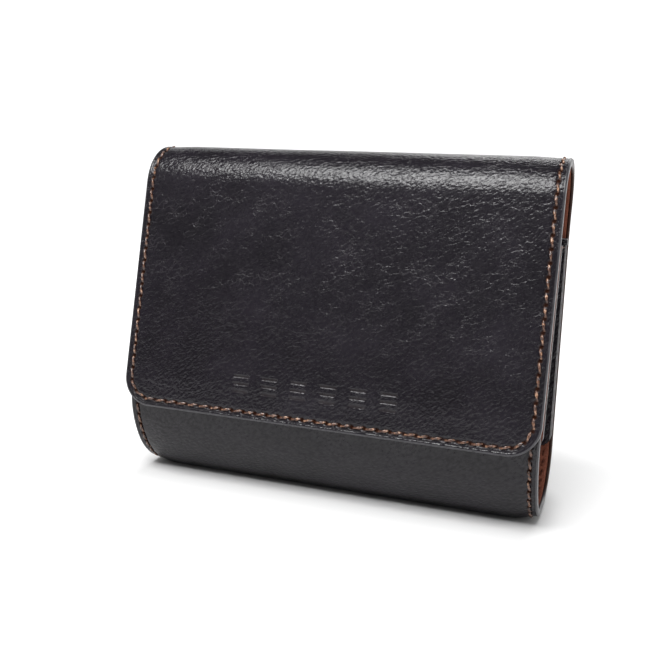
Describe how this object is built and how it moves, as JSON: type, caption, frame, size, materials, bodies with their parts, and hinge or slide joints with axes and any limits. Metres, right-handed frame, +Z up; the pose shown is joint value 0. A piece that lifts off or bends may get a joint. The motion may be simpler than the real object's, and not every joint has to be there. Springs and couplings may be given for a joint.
{
  "type": "headphone carrying case",
  "caption": "Folded leather carrying case for headphones, with a hinged front flap held by hidden magnets, inward-folding side gussets and a suede lining.",
  "frame": {"origin": "on the surface that the case stands on, under the centre of its box", "axes": "+X to the right of the case seen from its flap side, -Y the flap side, +Z up"},
  "size_m": [0.14, 0.0464, 0.1138],
  "materials": {
    "leather": "fine pebble grain, semi-gloss, painted edges",
    "suede": "reddish-brown suede nap",
    "board": "matt stiffener sheet",
    "thread": "waxed tan sewing thread",
    "magnet": "nickel-plated disc"
  },
  "bodies": {
    "pouch": {"body_leather": "leather", "body_lining": "suede", "front_board": "board", "back_board": "board", "left_gusset": "leather", "right_gusset": "leather", "left_gusset_lining": "suede", "right_gusset_lining": "suede", "left_gusset_hem": "leather", "right_gusset_hem": "leather", "left_gusset_stitching": "thread", "right_gusset_stitching": "thread", "left_body_stitching": "thread", "right_body_stitching": "thread", "front_edge_stitching": "thread", "front_magnets": "magnet"},
    "spine": {"spine_leather": "leather", "spine_lining": "suede", "spine_stitching": "thread"},
    "flap": {"flap_leather": "leather", "flap_lining": "suede", "flap_board": "board", "flap_stitching": "thread", "flap_magnets": "magnet"}
  },
  "joints": [
    {"name": "back_crease", "type": "hinge", "parent": "pouch", "child": "spine", "pos_m": [0, 0.01963, 0.10837], "axis": [-1, 0, 0], "range_deg": [0, 160]},
    {"name": "front_crease", "type": "hinge", "parent": "spine", "child": "flap", "pos_m": [0, -0.00134, 0.11061], "axis": [-1, 0, 0], "range_deg": [0, 78]}
  ]
}
